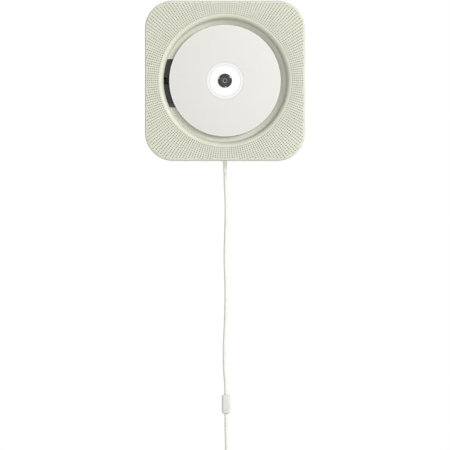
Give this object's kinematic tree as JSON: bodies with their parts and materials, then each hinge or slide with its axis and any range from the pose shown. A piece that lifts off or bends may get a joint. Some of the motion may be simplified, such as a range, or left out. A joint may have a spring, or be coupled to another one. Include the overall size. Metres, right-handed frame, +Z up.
{
  "type": "wall mounted cd player",
  "caption": "Square wall-hung disc player with an open disc recess, perforated front, spring-ball hub and a pull-cord switch on its supply lead.",
  "frame": {"origin": "on the wall, in the middle of the bracket's four screw holes, level with the disc's axis", "axes": "+Z up, -Y out of the wall towards the listener, +X to the right seen from the front"},
  "size_m": [0.172, 0.041, 0.6186],
  "materials": {
    "case_plastic": "moulded ABS, fine satin texture, warm cream-grey",
    "black_plastic": "black glass-filled plastic",
    "grey_plastic": "mid-grey moulded plastic",
    "bracket_steel": "pressed zinc-plated steel",
    "bright_steel": "ground and polished steel",
    "motor_can": "drawn steel can",
    "screw_steel": "zinc-plated screws",
    "rubber": "soft black rubber",
    "lens_glass": "coated moulded lens",
    "clear_window": "clear acrylic window",
    "disc_print": "polycarbonate disc, white printed face",
    "board_green": "solder-masked glass-epoxy board",
    "component_black": "moulded epoxy",
    "capacitor_can": "aluminium can",
    "lcd": "reflective liquid crystal display",
    "paper_cone": "pressed paper cone",
    "ferrite": "ferrite magnet in a steel yoke",
    "cord_jacket": "soft PVC cord jacket",
    "connector_plastic": "moulded pale plastic",
    "sleeve_plastic": "grey-cream moulded sleeve",
    "blade_metal": "nickel-plated brass blades"
  },
  "bodies": {
    "bracket": {"wall_bracket": "bracket_steel"},
    "housing": {"rear_cover": "case_plastic", "front_panel": "case_plastic", "case_screws": "screw_steel", "mechanism_deck": "black_plastic", "screw_cover": "grey_plastic", "deck_dampers": "rubber", "deck_screws": "screw_steel", "guide_rods": "bright_steel", "sled_motor": "motor_can", "spindle_motor": "motor_can", "circuit_board": "board_green", "board_chips": "component_black", "board_capacitors": "capacitor_can", "board_screws": "screw_steel", "speaker_frame_left": "motor_can", "speaker_magnet_left": "ferrite", "speaker_surround_left": "rubber", "speaker_frame_right": "motor_can", "speaker_magnet_right": "ferrite", "speaker_surround_right": "rubber", "control_board": "board_green", "tact_switches": "component_black", "display_module": "lcd", "display_window": "clear_window", "switch_body": "component_black", "switch_spring": "bright_steel", "cord_grommet": "sleeve_plastic"},
    "spindle": {"spindle_shaft": "bright_steel", "turntable": "black_plastic", "turntable_mat": "rubber", "chuck_hub": "black_plastic", "chuck_springs": "bright_steel", "centre_collar": "bright_steel"},
    "disc": {"disc": "disc_print"},
    "ball_1": {"chuck_ball_1": "bright_steel"},
    "ball_2": {"chuck_ball_2": "bright_steel"},
    "ball_3": {"chuck_ball_3": "bright_steel"},
    "sled": {"pickup_sled": "black_plastic"},
    "lens": {"lens_holder": "black_plastic", "objective_lens": "lens_glass"},
    "lead_screw": {"lead_screw": "bright_steel"},
    "skip_back": {"skip_back_button": "case_plastic"},
    "skip_forward": {"skip_forward_button": "case_plastic"},
    "volume_down": {"volume_down_button": "case_plastic"},
    "volume_up": {"volume_up_button": "case_plastic"},
    "cone_left": {"speaker_cone_left": "paper_cone"},
    "cone_right": {"speaker_cone_right": "paper_cone"},
    "pull": {"pull_slider": "connector_plastic", "cord_sleeve": "sleeve_plastic", "cord_upper": "cord_jacket", "dc_socket": "connector_plastic", "dc_plug": "connector_plastic", "cord_lower": "cord_jacket", "cord_coil": "cord_jacket", "cord_tail": "cord_jacket", "cord_tie": "connector_plastic", "ac_adapter": "connector_plastic", "adapter_blades": "blade_metal"}
  },
  "joints": [
    {"name": "housing_lift", "type": "slide", "parent": "bracket", "child": "housing", "axis": [0, 0, 1], "range_m": [0, 0.008]},
    {"name": "disc_spin", "type": "hinge", "parent": "housing", "child": "spindle", "pos_m": [0, -0.03, 0], "axis": [0, -1, 0], "continuous": true},
    {"name": "disc_lift_off", "type": "slide", "parent": "spindle", "child": "disc", "axis": [0, -1, 0], "range_m": [0, 0.03]},
    {"name": "sled_travel", "type": "slide", "parent": "housing", "child": "sled", "axis": [-1, 0, 0], "range_m": [0, 0.0355]},
    {"name": "lead_screw_turn", "type": "hinge", "parent": "housing", "child": "lead_screw", "pos_m": [-0.03, -0.0225, -0.0265], "axis": [1, 0, 0], "range_deg": [0, 4270]},
    {"name": "lens_focus", "type": "slide", "parent": "sled", "child": "lens", "axis": [0, -1, 0], "range_m": [-0.0006, 0.0006], "stiffness_N_per_m": 30},
    {"name": "ball_1_slide", "type": "slide", "parent": "spindle", "child": "ball_1", "axis": [-0.809, 0, -0.5878], "range_m": [0, 0.0006], "stiffness_N_per_m": 400, "springref_m": -0.001},
    {"name": "ball_2_slide", "type": "slide", "parent": "spindle", "child": "ball_2", "axis": [0.9135, 0, -0.4067], "range_m": [0, 0.0006], "stiffness_N_per_m": 400, "springref_m": -0.001},
    {"name": "ball_3_slide", "type": "slide", "parent": "spindle", "child": "ball_3", "axis": [-0.1045, 0, 0.9945], "range_m": [0, 0.0006], "stiffness_N_per_m": 400, "springref_m": -0.001},
    {"name": "skip_back_press", "type": "slide", "parent": "housing", "child": "skip_back", "axis": [0, 0, -1], "range_m": [0, 0.0008], "stiffness_N_per_m": 800, "springref_m": -0.0005},
    {"name": "skip_forward_press", "type": "slide", "parent": "housing", "child": "skip_forward", "axis": [0, 0, -1], "range_m": [0, 0.0008], "stiffness_N_per_m": 800, "springref_m": -0.0005},
    {"name": "volume_down_press", "type": "slide", "parent": "housing", "child": "volume_down", "axis": [0, 0, -1], "range_m": [0, 0.0008], "stiffness_N_per_m": 800, "springref_m": -0.0005},
    {"name": "volume_up_press", "type": "slide", "parent": "housing", "child": "volume_up", "axis": [0, 0, -1], "range_m": [0, 0.0008], "stiffness_N_per_m": 800, "springref_m": -0.0005},
    {"name": "cone_left_stroke", "type": "slide", "parent": "housing", "child": "cone_left", "axis": [0, -1, 0], "range_m": [-0.0008, 0.0008], "stiffness_N_per_m": 1500, "deforming": ["speaker_surround_left"]},
    {"name": "cone_right_stroke", "type": "slide", "parent": "housing", "child": "cone_right", "axis": [0, -1, 0], "range_m": [-0.0008, 0.0008], "stiffness_N_per_m": 1500, "deforming": ["speaker_surround_right"]},
    {"name": "cord_pull", "type": "slide", "parent": "housing", "child": "pull", "axis": [0, 0, -1], "range_m": [0, 0.005], "stiffness_N_per_m": 500, "springref_m": -0.012, "deforming": ["switch_spring"]}
  ],
  "couplings": [
    {"joint": "lead_screw_turn", "follows": "sled_travel", "rad_per_m": 2094.4}
  ]
}
